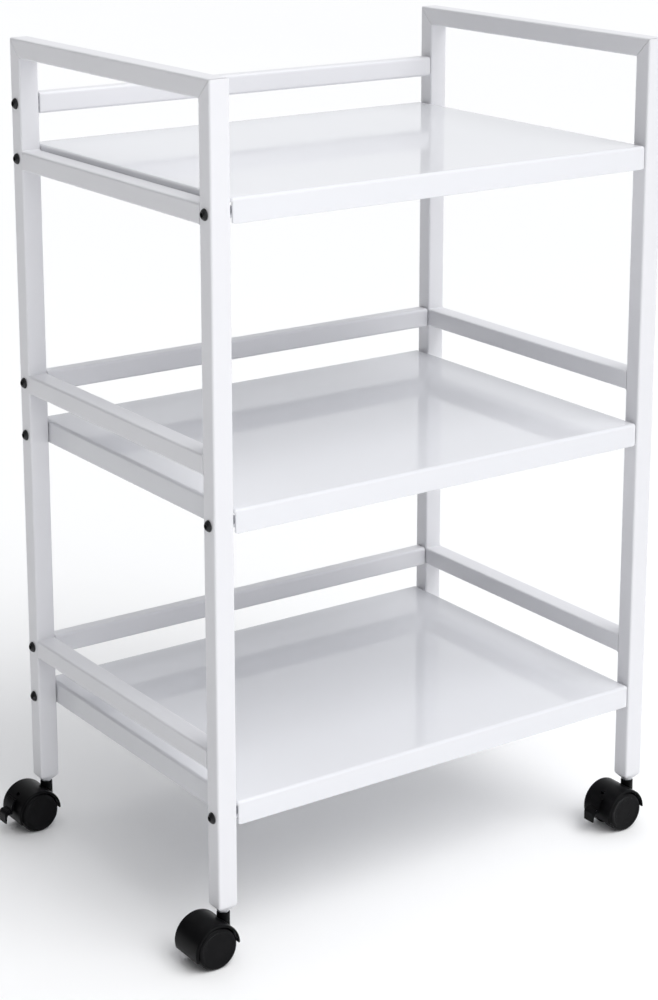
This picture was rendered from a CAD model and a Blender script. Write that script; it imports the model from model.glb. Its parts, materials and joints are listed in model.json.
# %% [markdown]
# # A rolling three-shelf printer stand
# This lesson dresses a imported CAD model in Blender. The CAD gives every place
# and size, so the script first loads it, then builds a finer visible piece for
# each steel tube, pressed shelf, screw and caster, and gives each a finish.
# Everything is in metres: X runs across the stand, the open front faces -Y,
# and the floor is at Z = 0.

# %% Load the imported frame
import bpy
import bmesh
import json
import math
from mathutils import Vector, Matrix


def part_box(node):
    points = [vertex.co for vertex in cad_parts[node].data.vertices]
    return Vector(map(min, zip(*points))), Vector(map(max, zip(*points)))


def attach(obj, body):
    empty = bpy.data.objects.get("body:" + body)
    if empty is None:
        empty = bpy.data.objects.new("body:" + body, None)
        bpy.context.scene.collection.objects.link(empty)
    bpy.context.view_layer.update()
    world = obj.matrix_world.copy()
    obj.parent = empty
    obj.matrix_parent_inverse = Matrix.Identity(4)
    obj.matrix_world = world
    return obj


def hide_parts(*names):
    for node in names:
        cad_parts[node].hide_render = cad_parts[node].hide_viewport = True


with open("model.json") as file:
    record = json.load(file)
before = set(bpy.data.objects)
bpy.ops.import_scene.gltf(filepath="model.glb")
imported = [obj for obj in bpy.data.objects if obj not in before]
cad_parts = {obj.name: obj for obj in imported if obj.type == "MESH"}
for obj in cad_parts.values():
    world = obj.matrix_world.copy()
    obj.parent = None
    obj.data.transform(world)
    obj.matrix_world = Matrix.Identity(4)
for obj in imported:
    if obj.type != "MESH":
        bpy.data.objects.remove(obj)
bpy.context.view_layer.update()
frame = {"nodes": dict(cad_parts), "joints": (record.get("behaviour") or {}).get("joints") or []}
MM = 0.001

# %% [markdown]
# ## The finishes
# A real finish is never one flat colour. Powder coat is sprayed as dust and
# melts in an oven, which leaves a very fine orange-peel surface; moulded nylon
# copies the sparked grain of its steel mould; zinc plating is bright but
# slightly cloudy. Each could be painted as an image, but an image has to be
# unwrapped and blurs close up. Here each is made with noise nodes on Object
# coordinates, which are in metres, so the grain has its true size everywhere.

# %% A helper that starts a material with its even values
def start_finish(title, colour, roughness, metallic=0.0, gloss=0.5):
    finish = bpy.data.materials.new(title)
    finish.use_nodes = True
    shader = finish.node_tree.nodes["Principled BSDF"]
    shader.inputs["Base Color"].default_value = (*colour, 1.0)
    shader.inputs["Roughness"].default_value = roughness
    shader.inputs["Metallic"].default_value = metallic
    shader.inputs["Specular IOR Level"].default_value = gloss
    return finish, finish.node_tree, shader


# %% Helpers for noise, value ranges, colour mixes and bumps
def noise(tree, per_metre, detail=3.0, stretch=(1, 1, 1)):
    place = tree.nodes.new("ShaderNodeTexCoord")
    mapping = tree.nodes.new("ShaderNodeMapping")
    mapping.inputs["Scale"].default_value = stretch
    pattern = tree.nodes.new("ShaderNodeTexNoise")
    pattern.inputs["Scale"].default_value = per_metre
    pattern.inputs["Detail"].default_value = detail
    tree.links.new(place.outputs["Object"], mapping.inputs["Vector"])
    tree.links.new(mapping.outputs["Vector"], pattern.inputs["Vector"])
    return pattern.outputs["Fac"]


def spread(tree, value, low, high, lowest=0.3, highest=0.7):
    ranged = tree.nodes.new("ShaderNodeMapRange")
    ranged.interpolation_type = "SMOOTHSTEP"
    ranged.inputs["From Min"].default_value = lowest
    ranged.inputs["From Max"].default_value = highest
    ranged.inputs["To Min"].default_value = low
    ranged.inputs["To Max"].default_value = high
    tree.links.new(value, ranged.inputs["Value"])
    return ranged.outputs["Result"]


def mottle(tree, shader, value, colour_a, colour_b):
    mixed = tree.nodes.new("ShaderNodeMix")
    mixed.data_type = "RGBA"
    mixed.inputs["A"].default_value = (*colour_a, 1.0)
    mixed.inputs["B"].default_value = (*colour_b, 1.0)
    tree.links.new(value, mixed.inputs["Factor"])
    tree.links.new(mixed.outputs["Result"], shader.inputs["Base Color"])


def bump(tree, height, distance, strength, below=None):
    node = tree.nodes.new("ShaderNodeBump")
    node.inputs["Distance"].default_value = distance
    node.inputs["Strength"].default_value = strength
    tree.links.new(height, node.inputs["Height"])
    if below is not None:
        tree.links.new(below, node.inputs["Normal"])
    return node.outputs["Normal"]


# %% [markdown]
# ### White powder coat
# On the stand it is a smooth semi-gloss white, slightly cool, that shows soft
# blurred reflections on the shelves. A fine bump, about 1.5 mm from crest to
# crest, gives the orange peel; the shelves have a broad faint one below it,
# because thin pressed sheet is never quite flat. Roughness drifts a little
# too, because the coat is never equally thick.

# %% Make the white powder coat
def make_powder_coat(title, colour, roughness_low, roughness_high, sheet_wave=None):
    finish, tree, shader = start_finish(title, colour, roughness_low)
    mottle(tree, shader, spread(tree, noise(tree, 5, 2), 0, 1),
           tuple(v * 0.993 for v in colour), colour)
    tree.links.new(spread(tree, noise(tree, 12, 2), roughness_low, roughness_high),
                   shader.inputs["Roughness"])
    broad = bump(tree, noise(tree, 6, 0), sheet_wave, 0.3) if sheet_wave else None
    peel = bump(tree, noise(tree, 620, 2), 0.00004, 0.14, below=broad)
    tree.links.new(peel, shader.inputs["Normal"])
    return finish


tube_coat = make_powder_coat("white_coat_on_tube", (0.735, 0.735, 0.76), 0.285, 0.33)
shelf_coat = make_powder_coat("white_coat_on_sheet", (0.725, 0.73, 0.758), 0.055, 0.085, 0.0005)
print("made", tube_coat.name, "and", shelf_coat.name)

# %% [markdown]
# ### Black nylon, black oxide and zinc
# The caster housings and pedals are nylon from a spark-eroded mould: satin
# black with a fine grain. The wheels are harder and smoother, and carry very
# faint rings. The rings must follow each wheel as it turns, so they read a
# "radius" attribute that is stored in the mesh rather than a place in space.

# %% Make the black nylon of housings and pedals
def make_moulded_nylon(title, colour, grain_height):
    finish, tree, shader = start_finish(title, colour, 0.32, gloss=0.07)
    darker = tuple(v * 0.75 for v in colour)
    mottle(tree, shader, spread(tree, noise(tree, 90, 4), 0, 1), darker, colour)
    tree.links.new(spread(tree, noise(tree, 160, 3), 0.285, 0.36), shader.inputs["Roughness"])
    tree.links.new(bump(tree, noise(tree, 2600, 2), grain_height, 0.35), shader.inputs["Normal"])
    return finish


housing_nylon = make_moulded_nylon("black_nylon_moulded", (0.004, 0.004, 0.0045), 0.00005)
print("made", housing_nylon.name)


# %% Make the wheel nylon with faint rings round the axle
RING_GAP = 0.0006


def make_wheel_nylon():
    finish, tree, shader = start_finish("black_nylon_wheel", (0.005, 0.005, 0.0055), 0.2, gloss=0.08)
    mottle(tree, shader, spread(tree, noise(tree, 120, 4), 0, 1),
           (0.004, 0.004, 0.0045), (0.0055, 0.0055, 0.006))
    tree.links.new(spread(tree, noise(tree, 60, 2), 0.18, 0.25), shader.inputs["Roughness"])
    distance = tree.nodes.new("ShaderNodeAttribute")
    distance.attribute_name = "radius"
    turns = tree.nodes.new("ShaderNodeMath")
    turns.operation = "MULTIPLY"
    turns.inputs[1].default_value = 2 * math.pi / RING_GAP
    ring = tree.nodes.new("ShaderNodeMath")
    ring.operation = "SINE"
    tree.links.new(distance.outputs["Fac"], turns.inputs[0])
    tree.links.new(turns.outputs["Value"], ring.inputs[0])
    rings = bump(tree, ring.outputs["Value"], 0.000006, 0.2)
    grain = bump(tree, noise(tree, 1800, 2), 0.00002, 0.15, below=rings)
    tree.links.new(grain, shader.inputs["Normal"])
    return finish


wheel_nylon = make_wheel_nylon()
print("made", wheel_nylon.name)


# %% Make the two metals
def make_metal(title, dull, bright, rough_low, rough_high, metallic, scratch):
    finish, tree, shader = start_finish(title, bright, rough_low, metallic)
    mottle(tree, shader, spread(tree, noise(tree, 260, 4), 0, 1), dull, bright)
    tree.links.new(spread(tree, noise(tree, 420, 3), rough_low, rough_high),
                   shader.inputs["Roughness"])
    tree.links.new(bump(tree, noise(tree, 1500, 3, (1, 1, 4)), scratch, 0.3),
                   shader.inputs["Normal"])
    return finish


zinc = make_metal("bright_zinc", (0.56, 0.57, 0.60), (0.74, 0.75, 0.77), 0.285, 0.38, 1.0, 0.00003)
black_oxide = make_metal("black_oxide", (0.008, 0.008, 0.009), (0.02, 0.02, 0.022),
                         0.3, 0.45, 0.35, 0.00004)
print("made", zinc.name, "and", black_oxide.name)

# %% [markdown]
# ## Meshes from rings
# Tubes, shelves, wheels and housings all have one thing in common: their
# surface is a stack of rings joined by quads. They could be cut from cubes
# and bevelled, but then each corner radius is a modifier to tune. Listing the
# rings gives the true radius at once, with the small worn edges that catch
# the light.

# %% Join rings of points into a mesh
def skin(title, rings, loop=False):
    """loop joins the last ring to the first; otherwise both ends are capped."""
    count = len(rings[0])
    faces = []
    for k in range(len(rings) if loop else len(rings) - 1):
        here, there = k * count, (k + 1) % len(rings) * count
        for i in range(count):
            j = (i + 1) % count
            faces.append((here + i, here + j, there + j, there + i))
    if not loop:
        faces.append(tuple(range(count)))
        faces.append(tuple(range((len(rings) - 1) * count, len(rings) * count)))
    mesh = bpy.data.meshes.new(title)
    mesh.from_pydata([tuple(p) for ring in rings for p in ring], [], faces)
    return tidy_mesh(mesh)


def tidy_mesh(mesh):
    work = bmesh.new()
    work.from_mesh(mesh)
    bmesh.ops.remove_doubles(work, verts=work.verts, dist=1e-7)
    bmesh.ops.dissolve_degenerate(work, edges=work.edges, dist=1e-8)
    bmesh.ops.recalc_face_normals(work, faces=work.faces)
    work.to_mesh(mesh)
    work.free()
    return mesh


# %% Put several meshes into one
def merge(title, meshes):
    work = bmesh.new()
    for mesh in meshes:
        work.from_mesh(mesh)
        bpy.data.meshes.remove(mesh)
    joined = bpy.data.meshes.new(title)
    work.to_mesh(joined)
    work.free()
    return joined


# %% Cut one mesh with others
def carve(mesh, cutters):
    body = bpy.data.objects.new("being_cut", mesh)
    bpy.context.scene.collection.objects.link(body)
    tools = []
    for cutter in cutters:
        tool = bpy.data.objects.new("cutter", cutter)
        bpy.context.scene.collection.objects.link(tool)
        cut = body.modifiers.new("cut", "BOOLEAN")
        cut.operation = "DIFFERENCE"
        cut.solver = "EXACT"
        cut.object = tool
        tools.append(tool)
    graph = bpy.context.evaluated_depsgraph_get()
    result = bpy.data.meshes.new_from_object(body.evaluated_get(graph), depsgraph=graph)
    for thing in [body] + tools:
        old = thing.data
        bpy.data.objects.remove(thing)
        bpy.data.meshes.remove(old)
    return result


# %% Make a mesh into a finished piece on its body
def add_piece(title, mesh, finish, body, nodes=(), sharp=40):
    mesh.materials.clear()
    mesh.materials.append(finish)
    mesh.shade_smooth()
    mesh.set_sharp_from_angle(angle=math.radians(sharp))
    piece = bpy.data.objects.new(title, mesh)
    bpy.context.scene.collection.objects.link(piece)
    flat = piece.modifiers.new("keep_flats_flat", "WEIGHTED_NORMAL")
    flat.keep_sharp = True
    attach(piece, body)
    if nodes:
        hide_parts(*nodes)
    return piece


# %% The outline of a rectangle with round corners
def round_corners(width, depth, radius, steps=6):
    outline = []
    for sx, sy, start in ((1, 1, 0), (-1, 1, 90), (-1, -1, 180), (1, -1, 270)):
        for i in range(steps + 1):
            a = math.radians(start + 90 * i / steps)
            outline.append((sx * (width / 2 - radius) + radius * math.cos(a),
                            sy * (depth / 2 - radius) + radius * math.sin(a)))
    return outline


# %% [markdown]
# ## The side frames
# Each side frame is welded from rectangular tube: two posts and a handle bar
# that meet in 45 degree mitres, and side rails between the posts. A tube could
# be a curve with a bevel profile, but a curve can't be mitred and hollow at
# once, and the ends are what the eye checks. So a tube is made of rings: the
# outside, the slightly worn rim at each end, and back along the inside. A
# slanted end simply lets each point's place along the tube lean with its
# height across it.

# %% One function that makes every tube on the stand
WALL = 1.2 * MM
RIM = 0.35 * MM
SEAM = 0.22 * MM


def make_tube(title, middle, along, across, size, radius, start, end, lean=(0, 0), weld=0.0,
              rim=RIM):
    """size is across and the third way; lean slants the ends; weld swells them."""
    along, across = Vector(along), Vector(across)
    third = along.cross(across)

    def ring(shrink, place, slant, swell=0.0):
        outline = round_corners(size[0] - 2 * shrink, size[1] - 2 * shrink + 2 * swell,
                                max(radius - shrink, 0.5 * MM))
        return [middle + across * a + third * b + along * (place + slant * b)
                for a, b in outline]

    rim_steps = ((WALL, 0.0), (rim, 0.0), (0.3 * rim, 0.3 * rim), (0.0, rim))
    rings = [ring(s, start + t, lean[0], weld) for s, t in rim_steps]
    if weld:
        rings.append(ring(0, start + 0.5 * MM, lean[0], 0.55 * weld))
        rings.append(ring(0, start + 1.0 * MM, lean[0], 0.15 * weld))
        rings.append(ring(0, start + 1.5 * MM, lean[0]))
        rings.append(ring(0, end - 1.5 * MM, lean[1]))
        rings.append(ring(0, end - 1.0 * MM, lean[1], 0.15 * weld))
        rings.append(ring(0, end - 0.5 * MM, lean[1], 0.55 * weld))
    rings += [ring(s, end - t, lean[1], weld) for s, t in reversed(rim_steps)]
    return skin(title, rings, loop=True)


# %% Make the four posts
def corner_of(node):
    low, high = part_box(node)
    return low, high, (low + high) / 2, high - low


for side in ("left", "right"):
    for end, facing in (("front", -1), ("rear", 1)):
        node = f"{side}_{end}_post"
        low, high, centre, size = corner_of(node)
        mesh = make_tube(node + "_mesh", Vector((centre.x, centre.y, 0)), (0, 0, 1), (1, 0, 0),
                         (size.x, size.y), 2 * MM, low.z, high.z - size.y / 2 - SEAM,
                         lean=(0, facing))
        add_piece(node + "_tube", mesh, tube_coat, "stand", [node])
        print(node, [round(v, 4) for v in size])

# %% Make the two handle bars, mitred to the posts
for side in ("left", "right"):
    node = f"{side}_handle_bar"
    low, high, centre, size = corner_of(node)
    mesh = make_tube(node + "_mesh", Vector((centre.x, 0, centre.z)), (0, 1, 0), (1, 0, 0),
                     (size.x, size.z), 2 * MM, low.y + size.z / 2 + SEAM,
                     high.y - size.z / 2 - SEAM, lean=(1, -1))
    add_piece(node + "_tube", mesh, tube_coat, "stand", [node])
    print(node, [round(v, 4) for v in size])

# %% [markdown]
# ## The side rails
# They are cut square and welded to the posts. The weld is ground flush on the
# outside and coated over, so what shows is a soft fillet above and below. The
# tube function swells the last 1.5 mm for it, rather than adding a lumpy bead
# that the real one doesn't show.

# %% Make the six side rails
WELD = 0.8 * MM
for side in ("left", "right"):
    for tier in ("top", "middle", "lower"):
        node = f"{side}_{tier}_rail"
        low, high, centre, size = corner_of(node)
        mesh = make_tube(node + "_mesh", Vector((centre.x, 0, centre.z)), (0, 1, 0), (1, 0, 0),
                         (size.x, size.z), 2 * MM, low.y, high.y, weld=WELD)
        add_piece(node + "_tube", mesh, tube_coat, "stand", [node])
print("side rails: 6")

# %% [markdown]
# ## The rear rails
# These are not welded: a screw through each post pulls them tight, so their
# ends are free, with a thin dark gap. Their corners are rounder than the
# frame's. The open end shows the threaded insert, which stays a CAD piece in
# zinc.

# %% Make the three rear rails
END_GAP = 0.5 * MM
END_RIM = 1.0 * MM
for tier in ("top", "middle", "lower"):
    node = f"rear_{tier}_rail"
    low, high, centre, size = corner_of(node)
    mesh = make_tube(node + "_mesh", Vector((0, centre.y, centre.z)), (1, 0, 0), (0, 1, 0),
                     (size.y, size.z), 3 * MM, low.x + END_GAP, high.x - END_GAP, rim=END_RIM)
    add_piece(node + "_tube", mesh, tube_coat, "stand", [node])
print("rear rails: 3")

# %% [markdown]
# ## The shelves
# Each is one sheet, 1 mm thick, with its four edges folded down over a 3 mm
# radius. It could be a thin cube with Solidify and Bevel, but the fold, the
# raw lower edge and the relieved corners would each need their own trick.
# Here the rings run outwards across the top, round the fold, down the edge,
# round its raw rim and back underneath. Near each corner the lower rim climbs
# along a 4 mm quarter circle, which is the press tool's corner relief.

# %% One ring of a shelf
SHEET = 1.0 * MM
FOLD = 3.0 * MM
NICK = 4.0 * MM
SIDE_GAP = 0.1 * MM
CORNER_CUT = (1.3 * MM, 4.0 * MM)


def shelf_ring(centre, width, depth, shrink, z, relief=0.0):
    radius = max(FOLD - shrink, 0.8 * MM)
    half_x, half_y = width / 2 - shrink, depth / 2 - shrink
    near = [0.0, 0.7 * MM, 1.6 * MM, 2.8 * MM, 4.5 * MM]
    points = []
    for sx, sy in ((1, 1), (-1, 1), (-1, -1), (1, -1)):
        arc = [(half_x - radius + radius * math.cos(math.radians(a)),
                half_y - radius + radius * math.sin(math.radians(a)))
               for a in range(0, 91, 15)]
        before = [(half_x, half_y - radius - d) for d in reversed(near[1:])]
        after = [(half_x - radius - d, half_y) for d in near[1:]]
        quarter = before + arc + after
        if sx * sy < 0:
            quarter.reverse()
        for x, y in quarter:
            from_corner = (half_x - x) + (half_y - y)
            lift = 0.0
            if relief and from_corner < NICK:
                lift = relief * (NICK - math.sqrt(NICK ** 2 - (NICK - from_corner) ** 2)) / NICK
            points.append(Vector((centre.x + sx * x, centre.y + sy * y, z + lift)))
    return points


# %% Open the four corners below the fold
# The folded edges don't meet there: the side edges stop 4 mm short, so the slit
# looks into the dark underneath. Each cutter reaches past the sheet by PAST.
PAST = 1.0 * MM
BELOW_FOLD = 0.6 * MM


def corner_cutters(centre, width, depth, top, foot):
    cutters = []
    for sx in (-1, 1):
        for sy in (-1, 1):
            x, y = centre.x + sx * width / 2, centre.y + sy * depth / 2
            xs = sorted((x - sx * CORNER_CUT[0], x + sx * PAST))
            ys = sorted((y - sy * CORNER_CUT[1], y + sy * PAST))
            cutters.append(skin("cutter", [
                [Vector((a, b, z)) for a, b in ((xs[0], ys[0]), (xs[1], ys[0]),
                                                (xs[1], ys[1]), (xs[0], ys[1]))]
                for z in (foot - PAST, top - FOLD - BELOW_FOLD)]))
    return cutters


# %% All the rings of a shelf, from the middle of its top round to its underside
FLAT_RINGS = (60 * MM, 12 * MM)
FOLD_STEPS = 6
EDGE_RING = 5 * MM
RAW_EDGE = 0.3 * MM


def shelf_rings(centre, width, depth, top, foot):
    inner = FOLD - SHEET
    turns = [math.radians(90 * step / FOLD_STEPS) for step in range(FOLD_STEPS + 1)]
    levels = [(shrink, top, 0.0) for shrink in FLAT_RINGS]
    levels += [(FOLD - FOLD * math.sin(a), top - FOLD + FOLD * math.cos(a), 0.0) for a in turns]
    levels += [(0, foot + EDGE_RING, NICK), (0, foot + RAW_EDGE, NICK), (RAW_EDGE, foot, NICK)]
    levels += [(SHEET - RAW_EDGE, foot, NICK), (SHEET, foot + RAW_EDGE, NICK),
               (SHEET, foot + EDGE_RING, NICK)]
    levels += [(FOLD - inner * math.sin(a), top - FOLD + inner * math.cos(a), 0.0)
               for a in reversed(turns)]
    levels += [(shrink, top - SHEET, 0.0) for shrink in reversed(FLAT_RINGS)]
    return [shelf_ring(centre, width, depth, shrink, z, relief) for shrink, z, relief in levels]


# %% Make the three shelves
for tier in ("top", "middle", "lower"):
    node = f"{tier}_shelf"
    low, high, centre, size = corner_of(node)
    top, foot = high.z, low.z
    width = size.x - 2 * SIDE_GAP
    rings = shelf_rings(centre, width, size.y, top, foot)
    mesh = carve(skin(node + "_mesh", rings), corner_cutters(centre, width, size.y, top, foot))
    add_piece(node + "_pressing", mesh, shelf_coat, "stand", [node])
    print(node, [round(v, 4) for v in size])

# %% [markdown]
# ## Screws and nuts
# The screws are button heads with a hexagon socket. There are eighteen, so
# one screw is made from rings and Geometry Nodes set a copy at each place:
# each point of a small carrier mesh marks a seat and stores which way the
# head faces. Realize Instances at the end turns the copies into plain mesh.

# %% Rings whose outline runs from a circle to a hexagon
ROUND = 48


def hex_radius(flats, angle):
    return flats / 2 / math.cos((angle + math.pi / 6) % (math.pi / 3) - math.pi / 6)


def disc_ring(radius, z, flats=0.0):
    """A circle, or where flats is given, a hexagon cut off at the radius."""
    points = []
    for i in range(ROUND):
        a = 2 * math.pi * i / ROUND
        r = min(radius, hex_radius(flats, a)) if flats else radius
        points.append(Vector((r * math.cos(a), r * math.sin(a), z)))
    return points


# %% One button-head screw, with its seat at 0 and its head on +Z
def make_screw(shank):
    head, height, socket = 5.25 * MM, 3.3 * MM, 4.0 * MM
    dome_radius, drop = 5.775 * MM, 1.905 * MM
    core, crest, pitch, threaded, point = 2.62 * MM, 2.98 * MM, 1.0 * MM, 9 * MM, 0.6 * MM
    rings = [disc_ring(2.3 * MM, -shank), disc_ring(2.9 * MM, -shank + point)]
    turn = -shank + point
    while turn < -shank + threaded:
        rings += [disc_ring(core, turn + 0.25 * MM), disc_ring(crest, turn + 0.6 * MM),
                  disc_ring(crest, turn + 0.7 * MM)]
        turn += pitch
    rings += [disc_ring(2.95 * MM, turn), disc_ring(2.95 * MM, 0), disc_ring(head - 0.5 * MM, 0),
              disc_ring(head, 0.3 * MM)]
    for step in range(1, 9):
        z = 0.3 * MM + (height - 0.3 * MM) * step / 8
        radius = min(math.sqrt(dome_radius ** 2 - (z + drop) ** 2), head)
        if radius > 2.75 * MM:
            rings.append(disc_ring(radius, z))
    rings += [disc_ring(2.6 * MM, height), disc_ring(2.45 * MM, height - 0.05 * MM),
              disc_ring(2.4 * MM, height - 0.25 * MM, socket),
              disc_ring(2.4 * MM, height - 2.0 * MM, socket),
              disc_ring(0.02 * MM, height - 2.5 * MM)]
    return skin("screw_pattern", rings)


# %% One hexagon nut, lying on its seat and reaching to -Z
def make_nut():
    flats, height, bore = 10 * MM, 5 * MM, 3.05 * MM
    rings = []
    for z, cut in ((0.0, 4.7), (-0.55, 5.6), (-4.45, 5.8), (-5.0, 4.7)):
        rings.append(disc_ring(cut * MM, z * MM, flats))
    rings += [disc_ring(bore + 0.3 * MM, -height), disc_ring(bore, -height + 0.3 * MM),
              disc_ring(bore, -0.3 * MM), disc_ring(bore + 0.3 * MM, 0)]
    return skin("nut_pattern", rings, loop=True)


# %% A Geometry Nodes tree that sets a copy at every point
def make_repeat_tree(finish):
    tree = bpy.data.node_groups.new("set_at_each_seat_" + finish.name, "GeometryNodeTree")
    face = tree.interface
    face.new_socket("Seats", in_out="INPUT", socket_type="NodeSocketGeometry")
    pattern = face.new_socket("Pattern", in_out="INPUT", socket_type="NodeSocketObject")
    scale = face.new_socket("Scale", in_out="INPUT", socket_type="NodeSocketFloat")
    face.new_socket("Result", in_out="OUTPUT", socket_type="NodeSocketGeometry")
    new, link = tree.nodes.new, tree.links.new
    group_in, group_out = new("NodeGroupInput"), new("NodeGroupOutput")
    template = new("GeometryNodeObjectInfo")
    way = new("GeometryNodeInputNamedAttribute")
    way.data_type = "FLOAT_VECTOR"
    way.inputs["Name"].default_value = "facing"
    turn = new("FunctionNodeAlignRotationToVector")
    turn.axis = "Z"
    copies = new("GeometryNodeInstanceOnPoints")
    realize = new("GeometryNodeRealizeInstances")
    paint = new("GeometryNodeSetMaterial")
    paint.inputs["Material"].default_value = finish
    link(group_in.outputs["Pattern"], template.inputs["Object"])
    link(way.outputs["Attribute"], turn.inputs["Vector"])
    link(group_in.outputs["Seats"], copies.inputs["Points"])
    link(template.outputs["Geometry"], copies.inputs["Instance"])
    link(turn.outputs["Rotation"], copies.inputs["Rotation"])
    link(group_in.outputs["Scale"], copies.inputs["Scale"])
    link(copies.outputs["Instances"], realize.inputs["Geometry"])
    link(realize.outputs["Geometry"], paint.inputs["Geometry"])
    link(paint.outputs["Geometry"], group_out.inputs["Result"])
    return tree, pattern.identifier, scale.identifier


# %% Bake the copies into one plain mesh
def set_copies(title, pattern_mesh, seats, finish):
    """seats: (place, way that +Z of the pattern faces)."""
    tree, pattern_id, scale_id = make_repeat_tree(finish)
    pattern = bpy.data.objects.new("pattern", pattern_mesh)
    carrier_mesh = bpy.data.meshes.new("seats")
    carrier_mesh.from_pydata([tuple(p) for p, _ in seats], [], [])
    facing = carrier_mesh.attributes.new("facing", "FLOAT_VECTOR", "POINT")
    for i, (_, way) in enumerate(seats):
        facing.data[i].vector = way
    carrier = bpy.data.objects.new("seats", carrier_mesh)
    for thing in (pattern, carrier):
        bpy.context.scene.collection.objects.link(thing)
    nodes = carrier.modifiers.new("copies", "NODES")
    nodes.node_group = tree
    nodes[pattern_id] = pattern
    nodes[scale_id] = 1.0
    graph = bpy.context.evaluated_depsgraph_get()
    baked = bpy.data.meshes.new_from_object(carrier.evaluated_get(graph), depsgraph=graph)
    baked.name = title
    carrier.modifiers.remove(nodes)
    bpy.data.objects.remove(carrier)
    bpy.data.objects.remove(pattern)
    print(title, len(seats), "copies,", len(baked.polygons), "faces")
    return baked


# %% Where the screws sit
def post_seats(height, ends):
    """Seats on the posts' outer faces at one height."""
    seats = []
    for side, way in (("left", -1), ("right", 1)):
        for end in ends:
            low, high, centre, _ = corner_of(f"{side}_{end}_post")
            face = low.x if way < 0 else high.x
            seats.append((Vector((face, centre.y, height)), Vector((way, 0, 0))))
    return seats


def middle_height(node):
    low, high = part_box(node)
    return (low.z + high.z) / 2


# %% Set the shelf screws, rail screws and nuts
SHELF_SHANK = 27.4 * MM
RAIL_SHANK = 31.4 * MM
NUT_INSIDE = 21.4 * MM
nut_seats = []
for tier in ("top", "middle", "lower"):
    node = f"{tier}_shelf_screws"
    seats = post_seats(middle_height(node), ("front", "rear"))
    mesh = set_copies(node + "_mesh", make_screw(SHELF_SHANK), seats, black_oxide)
    add_piece(node + "_set", mesh, black_oxide, "stand", [node], sharp=35)
    nut_seats += [(place - way * NUT_INSIDE, way) for place, way in seats]
rail_seats = []
for tier in ("top", "middle", "lower"):
    rail_seats += post_seats(middle_height(f"rear_{tier}_rail"), ("rear",))
mesh = set_copies("rail_screws_mesh", make_screw(RAIL_SHANK), rail_seats, black_oxide)
add_piece("rail_screws_set", mesh, black_oxide, "stand", ["rail_screws"], sharp=35)
mesh = set_copies("shelf_nuts_mesh", make_nut(), nut_seats, zinc)
add_piece("shelf_nuts_set", mesh, zinc, "stand", ["shelf_nuts"], sharp=35)

# %% [markdown]
# ## The casters
# A caster is a nylon housing with a hood over two wheels, on a zinc-plated
# stem. All four are alike, apart from the brake pedals, so each part is made
# by a function that takes the stem's place. Local places are written from the
# axle: "out" is towards the trailing side, -X, and "up" is Z.

# %% Where the casters are
TRAIL = 17 * MM
AXLE_UP = 20
CASTERS = {}
for joint in frame["joints"]:
    if joint["name"].endswith("_swivel"):
        x, y, _ = joint["pos_m"]
        CASTERS[joint["name"].removesuffix("_swivel")] = Vector((x, y, 0))
BRAKED = [name for name in CASTERS if name + "_brake_pedal" in frame["nodes"]]
print("casters:", sorted(CASTERS), "braked:", sorted(BRAKED))


# %% Points seen from a caster's axle
def from_axle(stem, right, up, side=0.0):
    """right and up are in millimetres in the caster's plane, side is towards +Y."""
    return stem + Vector((-TRAIL + right * MM, side * MM, (AXLE_UP + up) * MM))


def polar(stem, radius, degrees, side=0.0):
    a = math.radians(degrees)
    return from_axle(stem, radius * math.cos(a), radius * math.sin(a), side)


# %% Turn a profile round the axle
def lathe(title, stem, profile, steps=96):
    """profile: (radius, side) in millimetres."""
    rings = [[polar(stem, r, 360 * i / steps, s) for r, s in profile] for i in range(steps)]
    return skin(title, rings, loop=True)


# %% A flat outline made into a plate with softened edges
def shrink_outline(outline, amount):
    """Moves each side of a closed outline inwards."""
    area = sum(a[0] * b[1] - b[0] * a[1] for a, b in zip(outline, outline[1:] + outline[:1]))
    turn = 1 if area > 0 else -1
    moved = []
    for i, (x, y) in enumerate(outline):
        before, after = Vector(outline[i - 1]), Vector(outline[(i + 1) % len(outline)])
        here = Vector((x, y))
        a, b = (here - before).normalized(), (after - here).normalized()
        inward = Vector((-a.y - b.y, a.x + b.x)) * turn
        if inward.length < 1e-9:
            moved.append((x, y))
            continue
        inward.normalize()
        miter = max(inward.dot(Vector((-a.y, a.x)) * turn), 0.5)
        moved.append(tuple(here + inward * amount / miter))
    return moved


def plate(title, stem, outline, half, soft=0.35):
    rings = []
    for side, shrink in ((-half, soft), (-half + 0.3 * soft, 0.3 * soft), (-half + soft, 0),
                         (half - soft, 0), (half - 0.3 * soft, 0.3 * soft), (half, soft)):
        shape = shrink_outline(outline, shrink) if shrink else outline
        rings.append([from_axle(stem, x, y, side) for x, y in shape])
    return skin(title, rings)


# %% [markdown]
# ### The housing
# The hood is a curved band over both wheels with rounded rims; a web stands
# between the wheels and carries the axle; a neck rises from it to the stem.
# On a real one these are a single moulding. They are made here as three
# closed shells that run into each other, which keeps every curve exact. Where
# a caster has a pedal, a slot is cut through hood and web for its arm, and a
# small window above it.

# %% The hood's band, swept from the stem side over to the trailing side
HOOD_FROM, HOOD_TO = 2.0, 200.0


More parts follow.
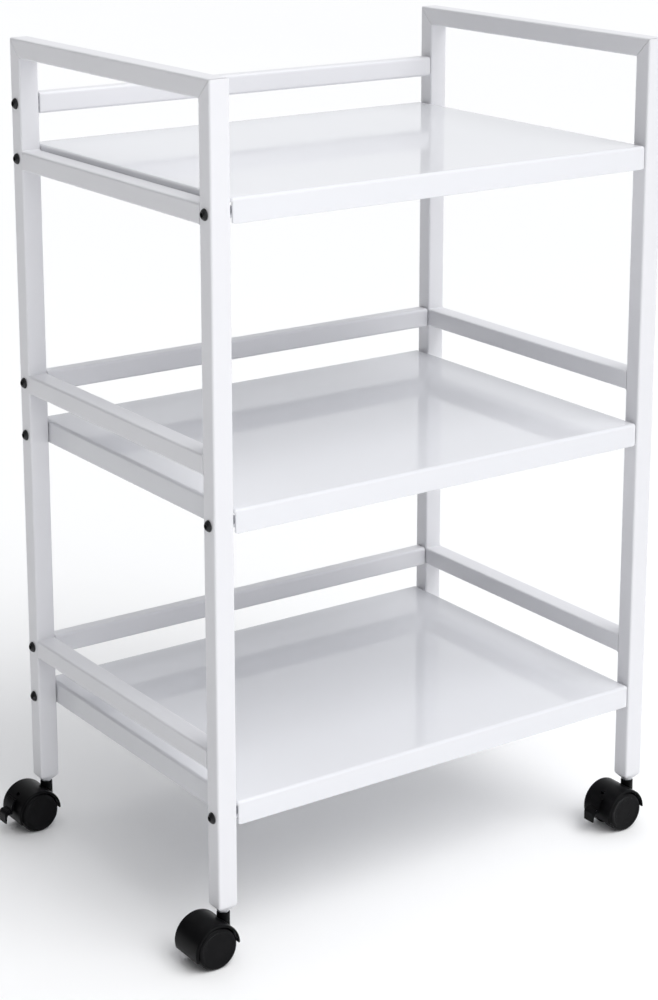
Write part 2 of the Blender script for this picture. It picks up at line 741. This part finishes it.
def make_hood(stem):
    def section(thin):
        inner, outer, half, edge = 20.9 + thin, 23.0 - thin, 19.5 - thin, 2.0 - thin
        shape = [(inner + 0.3, -half), (inner, -half + 0.3), (inner, half - 0.3), (inner + 0.3, half)]
        for i in range(9):
            a = math.radians(90 - 90 * i / 8)
            shape.append((outer - edge + edge * math.cos(a), half - edge + edge * math.sin(a)))
        for i in range(9):
            a = math.radians(-90 * i / 8)
            shape.append((outer - edge + edge * math.cos(a), -half + edge + edge * math.sin(a)))
        return shape

    angles = [(HOOD_FROM, 0.6), (HOOD_FROM + 0.4, 0.25), (HOOD_FROM + 1.2, 0.05)]
    angles += [(HOOD_FROM + 2.2 + (HOOD_TO - HOOD_FROM - 4.4) * i / 96, 0.0) for i in range(97)]
    angles += [(HOOD_TO - 1.2, 0.05), (HOOD_TO - 0.4, 0.25), (HOOD_TO, 0.6)]
    rings = [[polar(stem, r, a, s) for r, s in section(thin)] for a, thin in angles]
    return skin("hood", rings)


# %% The web between the wheels, and the hub round the axle
def make_web(stem):
    outer, hub, half, soft = 21.6, 6.5, 5.2, 0.4
    outline = [(outer * math.cos(math.radians(a)), outer * math.sin(math.radians(a)))
               for a in [HOOD_FROM + (HOOD_TO - HOOD_FROM) * i / 60 for i in range(61)]]
    outline += [(hub * math.cos(math.radians(a)), hub * math.sin(math.radians(a)))
                for a in [HOOD_TO + (360 + HOOD_FROM - HOOD_TO) * i / 20 for i in range(21)]]
    return plate("web", stem, outline, half, soft)


# %% The neck that takes the stem
def make_neck(stem):
    """Flattened up to flat_top, where it stands between the wheels."""
    flat_half, flat_top, bore = 5.15, 37, 3.55
    levels = [(20.8, 5.6), (21.4, 5.95), (36.2, 6.0), (37.4, 6.0), (43.8, 6.0),
              (44.3, 5.8), (44.6, 5.3)]
    rings = []
    for z, radius in levels:
        ring = []
        for i in range(ROUND):
            a = 2 * math.pi * i / ROUND
            side = radius * math.sin(a)
            if z < flat_top:
                side = max(-flat_half, min(flat_half, side))
            ring.append(stem + Vector((radius * math.cos(a), side, z)) * MM)
        rings.append(ring)
    for z, radius in ((44.6, 3.9), (44.2, bore), (38.0, bore)):
        rings.append([stem + p for p in disc_ring(radius * MM, z * MM)])
    return skin("neck", rings)


# %% Box-shaped and round cutters for the pedal's room
def box_cutter(stem, low, high):
    (x0, z0, y0), (x1, z1, y1) = low, high
    rings = [[from_axle(stem, x, z, y) for x, z in ((x0, z0), (x1, z0), (x1, z1), (x0, z1))]
             for y in (y0, y1)]
    return skin("cutter", rings)


def round_cutter(stem, right, up, radius, half):
    rings = [[from_axle(stem, right + radius * math.cos(2 * math.pi * i / 32),
                        up + radius * math.sin(2 * math.pi * i / 32), y) for i in range(32)]
             for y in (-half, half)]
    return skin("cutter", rings)


# %% The small window above the pedal, lying along the hood
def window_cutter(stem):
    a = math.radians(130.5)
    deep, past, half_long, half_wide = 20.4, 26, 1.6, 2.4
    out, along = Vector((math.cos(a), math.sin(a))), Vector((-math.sin(a), math.cos(a)))
    corners = [out * r + along * t for r, t in ((deep, -half_long), (past, -half_long),
                                                (past, half_long), (deep, half_long))]
    return skin("cutter", [[from_axle(stem, c.x, c.y, y) for c in corners]
                           for y in (-half_wide, half_wide)])


# %% The slot for the pedal's arm, and the room that its brake bar moves in
BRAKE_BAR = (-7.2, 10.9)
BAR_ROOM, BAR_ROOM_HALF = 3.8, 9


def slot_cutter(stem):
    return box_cutter(stem, (-30, 1.4, -3), (-8.4, 11.2, 3))


# %% Make the four housings
def make_housing(name):
    stem = CASTERS[name]
    hood, web = make_hood(stem), make_web(stem)
    if name in BRAKED:
        hood = carve(hood, [slot_cutter(stem), window_cutter(stem)])
        web = carve(web, [slot_cutter(stem), round_cutter(stem, *BRAKE_BAR, BAR_ROOM, BAR_ROOM_HALF),
                          window_cutter(stem)])
    return merge(name + "_housing_mesh", [hood, web, make_neck(stem)])


for name in CASTERS:
    add_piece(name + "_hood_and_neck", make_housing(name), housing_nylon, name + "_caster",
              [name + "_housing"], sharp=38)
print("housings:", len(CASTERS))

# %% [markdown]
# ### The wheels
# Each wheel is a turned shape: a tread with rounded shoulders, a face that is
# very slightly hollow, and a hollow back with a hub. Spinning one profile is
# the natural way. The distance of each point from the axle is stored as the
# attribute that the wheel's rings read.

# %% Half profile of a wheel: radius, and distance from its inner face
def wheel_profile():
    profile = [(0.01, 12.45), (9.0, 12.42), (13.0, 12.45), (14.6, 12.55), (15.4, 12.75),
               (16.0, 12.93), (16.6, 13.0)]
    for i in range(0, 9):
        a = math.radians(90 - 90 * i / 8)
        profile.append((17.0 + 3.0 * math.cos(a), 10.0 + 3.0 * math.sin(a)))
    profile += [(20.0, 6.0), (20.0, 1.0)]
    for i in range(1, 6):
        a = math.radians(-90 * i / 5)
        profile.append((19.0 + 1.0 * math.cos(a), 1.0 + 1.0 * math.sin(a)))
    profile += [(16.9, 0.0), (16.5, 0.4), (16.5, 9.2), (16.2, 9.5), (6.3, 9.5), (6.0, 9.2),
                (6.0, 0.3), (5.7, 0.0), (2.85, 0.0), (2.55, 0.3), (2.55, 11.0), (0.01, 11.0)]
    return profile


# %% Make the eight wheels
def make_wheel(name, which):
    way = -1 if which == "fore" else 1
    profile = [(r, way * (5.7 + s)) for r, s in wheel_profile()]
    stem = CASTERS[name]
    mesh = lathe(f"{name}_{which}_wheel_mesh", stem, profile)
    centre = from_axle(stem, 0, 0)
    radius = mesh.attributes.new("radius", "FLOAT", "POINT")
    for i, vertex in enumerate(mesh.vertices):
        offset = vertex.co - centre
        radius.data[i].value = math.hypot(offset.x, offset.z)
    return mesh


for name in CASTERS:
    for which in ("fore", "aft"):
        node = f"{name}_{which}_wheel"
        add_piece(node + "_turned", make_wheel(name, which), wheel_nylon, node,
                  [node], sharp=50)
print("wheels:", 2 * len(CASTERS))

# %% [markdown]
# ### Stems and foot plugs
# The plug closes the post's end and narrows below it to meet the stem. There
# the stem's hexagon collar is the one bright spot on the caster. Both are
# stacks of rings again, one rectangular and one running from circle to
# hexagon.

# %% Make the foot plugs: tapered foot, rim under the post, and the part inside it
PLUG_FOOT, PLUG_FOOT_EDGE = (10.9, 10.3), (11.5, 10.9)
PLUG_RIM_EDGE, PLUG_RIM, PLUG_INSIDE = (18.5, 16.5), (18.7, 16.7), (17.4, 15.4)
PLUG_CORNER = 1.4 * MM
for name in CASTERS:
    node = name + "_foot_plug"
    low, high, _, _ = corner_of(node)
    end, side = name.split("_")
    post_low, _, post_centre, _ = corner_of(f"{side}_{end}_post")
    rings = []
    for (width, depth), z in ((PLUG_FOOT, low.z), (PLUG_FOOT_EDGE, low.z + 0.3 * MM),
                              (PLUG_RIM_EDGE, post_low.z - 1.1 * MM),
                              (PLUG_RIM, post_low.z - 0.7 * MM), (PLUG_RIM, post_low.z),
                              (PLUG_INSIDE, post_low.z), (PLUG_INSIDE, high.z)):
        outline = round_corners(width * MM, depth * MM, PLUG_CORNER, 4)
        rings.append([Vector((post_centre.x + a, post_centre.y + b, z)) for a, b in outline])
    add_piece(node + "_cap", skin(node + "_mesh", rings), tube_coat, "stand", [node])
print("foot plugs:", len(CASTERS))

# %% Make the stems
COLLAR = 2.0 * MM
for name, stem in CASTERS.items():
    node = name + "_stem"
    low, high, _, _ = corner_of(node)
    flats, base = 10 * MM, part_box(name + "_foot_plug")[0].z
    levels = [(3.2, low.z, 0), (3.5, low.z + 0.3 * MM, 0), (3.5, base - COLLAR, 0),
              (4.9, base - COLLAR, flats), (5.77, base - 1.6 * MM, flats),
              (5.77, base - 0.4 * MM, flats), (4.9, base, flats), (4.0, base, 0),
              (4.0, high.z - 0.5 * MM, 0), (3.5, high.z, 0)]
    rings = [[stem + p for p in disc_ring(r * MM, z, f)] for r, z, f in levels]
    add_piece(node + "_turned", skin(node + "_mesh", rings), zinc, "stand", [node],
              sharp=30)
print("stems:", len(CASTERS))

# %% [markdown]
# ### The brake pedals
# A pedal hangs behind the hood: a curved band, a shoulder for the toe with
# grooves for grip, a thin upright tail, and an arm through the slot to its
# pin. The grooves run straight across, so they are simply dips in the outline
# that is pulled into a plate.

# %% Outline of the band, shoulder and tail, with the grooves
def pedal_outline():
    inner, outer, end = 24.8, 27.0, -33.2
    points = [(inner * math.cos(math.radians(a)), inner * math.sin(math.radians(a)))
              for a in range(144, 177, 4)]
    points += [(-inner, 0.6), (end + 5.2, 0.9), (end + 3.4, 0.2), (end + 2.4, -1.6),
               (end + 1.8, -7.6), (end + 0.4, -7.6), (end, -7.2), (end, 1.2), (end + 0.8, 3.4)]
    toe, heel = Vector((end + 2.8, 4.8)), Vector((-26.2, 5.6))
    points.append(tuple(toe))
    grooves, first, pitch, half, deep = 4, 0.08, 0.22, 0.07, 0.35
    for i in range(grooves):
        near, middle, far = (toe.lerp(heel, first + pitch * i + step) for step in (0, half, 2 * half))
        points += [tuple(near), (middle.x, middle.y - deep), tuple(far)]
    points += [tuple(heel)]
    points += [(outer * math.cos(math.radians(a)), outer * math.sin(math.radians(a)))
               for a in range(165, 143, -3)]
    return points


# %% Make the two brake pedals
def make_pedal(name):
    stem = CASTERS[name]
    pivot, hub_radius, rod_radius = (-12.1, 7.0), 3.2, 1.6
    arm = [(-12.1, 9.9), (-24.9, 9.1), (-25.7, 4.6), (-12.1, 4.1)]
    hub = [(pivot[0] + hub_radius * math.cos(2 * math.pi * i / 32),
            pivot[1] + hub_radius * math.sin(2 * math.pi * i / 32)) for i in range(32)]
    link = [(-13.1, 9.0), (-8.2, 11.5), (-6.0, 10.3), (-10.1, 6.0)]
    rod = [(BRAKE_BAR[0] + rod_radius * math.cos(2 * math.pi * i / 24),
            BRAKE_BAR[1] + rod_radius * math.sin(2 * math.pi * i / 24)) for i in range(24)]
    parts = [plate("band", stem, pedal_outline(), 6.5, 0.4), plate("arm", stem, arm, 2.5, 0.3),
             plate("hub", stem, hub, 2.5, 0.2), plate("link", stem, link, 2.4, 0.2),
             plate("rod", stem, rod, 10.0, 0.3)]
    return merge(name + "_pedal_mesh", parts)


for name in BRAKED:
    node = name + "_brake_pedal"
    add_piece(node + "_moulded", make_pedal(name), housing_nylon, node, [node],
              sharp=38)
print("pedals:", len(BRAKED))

# %% [markdown]
# ### Pieces that stay as the CAD made them
# The axles, pedal pins and rail inserts are plain turned or pressed steel,
# almost out of sight. Their CAD shape is right as it is, so they only need
# their finish.

# %% Give the remaining CAD pieces their zinc
kept = [n for n in frame["nodes"] if n.endswith("_axle") or n.endswith("_pedal_pin")
        or n == "rail_end_inserts"]
for node in kept:
    for material_slot in frame["nodes"][node].material_slots:
        material_slot.material = zinc
print("kept from CAD:", len(kept))

# %% [markdown]
# ## Floor, light and camera
# The stand is white, so it only reads against a pale floor if the light has a
# direction. A broad key comes from high in front and a little to the right. A
# weak lamp near the front left lifts the nearest faces. A very soft light comes
# from above, and the pale surround is dimmer on the left. The floor is one
# large plane. The camera's vertical shift lets it tilt less, so the uprights
# converge less; it is small, so that other views still hold the whole stand.

# %% The floor
FLOOR_HALF = 30


def make_floor():
    finish, tree, shader = start_finish("pale_floor", (0.95, 0.95, 0.95), 0.85)
    mottle(tree, shader, spread(tree, noise(tree, 0.6, 2), 0, 1),
           (0.945, 0.945, 0.945), (0.955, 0.955, 0.955))
    mesh = bpy.data.meshes.new("floor_mesh")
    corners = [(x * FLOOR_HALF, y * FLOOR_HALF, 0) for x, y in ((-1, -1), (1, -1), (1, 1), (-1, 1))]
    mesh.from_pydata(corners, [], [(0, 1, 2, 3)])
    mesh.materials.append(finish)
    floor = bpy.data.objects.new("floor", mesh)
    bpy.context.scene.collection.objects.link(floor)


make_floor()


# %% The surround
def make_surround():
    world = bpy.data.worlds.new("studio")
    bpy.context.scene.world = world
    world.use_nodes = True
    tree = world.node_tree
    light = tree.nodes["Background"]
    direction = tree.nodes.new("ShaderNodeTexCoord")
    split = tree.nodes.new("ShaderNodeSeparateXYZ")
    tree.links.new(direction.outputs["Generated"], split.inputs["Vector"])
    lean = tree.nodes.new("ShaderNodeMath")
    lean.operation = "MULTIPLY_ADD"
    lean.inputs[1].default_value = -0.25
    tree.links.new(split.outputs["Y"], lean.inputs[0])
    tree.links.new(split.outputs["X"], lean.inputs[2])
    side = spread(tree, lean.outputs["Value"], 0.13, 1.0, -0.9, 0.6)
    light.inputs["Color"].default_value = (0.97, 0.98, 1.0, 1.0)
    tree.links.new(side, light.inputs["Strength"])


make_surround()


# %% The lamps
def add_lamp(title, place, aim, power, width, height):
    lamp = bpy.data.lights.new(title, "AREA")
    lamp.shape = "RECTANGLE"
    lamp.size, lamp.size_y, lamp.energy = width, height, power
    holder = bpy.data.objects.new(title, lamp)
    holder.location = place
    holder.rotation_euler = (Vector(aim) - Vector(place)).to_track_quat("-Z", "Y").to_euler()
    bpy.context.scene.collection.objects.link(holder)


def add_sun(title, aim, strength, softness):
    sun = bpy.data.lights.new(title, "SUN")
    sun.energy, sun.angle = strength, math.radians(softness)
    holder = bpy.data.objects.new(title, sun)
    holder.rotation_euler = Vector(aim).to_track_quat("-Z", "Y").to_euler()
    bpy.context.scene.collection.objects.link(holder)


bpy.context.scene.view_settings.view_transform = "Standard"
add_sun("high_key", (-0.25, 0.7, -1.0), 1.2, 40)
add_lamp("near_front", (-0.6, -1.3, 1.3), (-0.1, 0, 0.4), 3.6, 0.9, 0.9)
add_sun("soft_top", (0.1, 0.1, -1.0), 0.4, 60)
print("lights set")


# %% The camera
def add_camera():
    """Set from the point it looks at by a turn, a tilt and a distance."""
    turn, tilt, distance = math.radians(34.89), math.radians(13.7), 2.215
    aim = Vector((0.00905, 0.0, 0.521))
    forward = Vector((math.sin(turn) * math.cos(tilt), math.cos(turn) * math.cos(tilt),
                      -math.sin(tilt)))
    lens = bpy.data.cameras.new("camera")
    lens.sensor_width, lens.lens = 36.0, 83.54
    lens.shift_y = -0.18
    lens.clip_start, lens.clip_end = 0.05, 100
    camera = bpy.data.objects.new("camera", lens)
    camera.location = aim - forward * distance
    camera.rotation_euler = forward.to_track_quat("-Z", "Y").to_euler()
    bpy.context.scene.collection.objects.link(camera)
    bpy.context.scene.camera = camera
    print("camera at", [round(v, 3) for v in camera.location])


add_camera()
